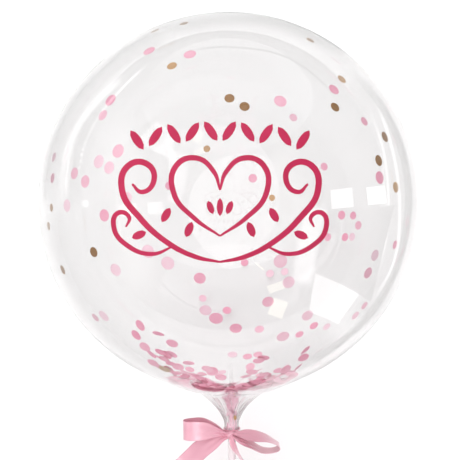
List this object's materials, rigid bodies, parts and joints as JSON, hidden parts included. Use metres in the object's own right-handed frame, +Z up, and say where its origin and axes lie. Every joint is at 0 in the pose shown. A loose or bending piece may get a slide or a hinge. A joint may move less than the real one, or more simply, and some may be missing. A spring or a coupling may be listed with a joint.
{
  "type": "party balloon",
  "caption": "Clear bubble balloon with a gathered neck on a clear tube stick, tied with a satin ribbon bow, lying on its side.",
  "frame": {"origin": "middle of the small flat spot on the balloon's back that it rests on", "axes": "+Z up from the surface it lies on, through the balloon's centre; +Y from the stick's lower end towards the balloon's top; the balloon's front faces up"},
  "size_m": [0.5, 0.9763, 0.4989],
  "materials": {
    "clear_film": "thin clear glossy plastic film, stretched smooth, pleated at the neck",
    "clear_tube": "clear extruded plastic tube, slightly milky, glossy",
    "pink_satin": "dusty pink satin ribbon with a fine crosswise weave and a soft sheen",
    "pink_confetti": "matt pink tissue paper discs, sealed in the balloon",
    "gold_confetti": "dull gold foil discs, sealed in the balloon",
    "crimson_print": "flat crimson print on the film, plain strokes and a flourish"
  },
  "bodies": {
    "root": {"balloon": "clear_film", "stick": "clear_tube", "ribbon_bow": "pink_satin"}
  },
  "joints": []
}
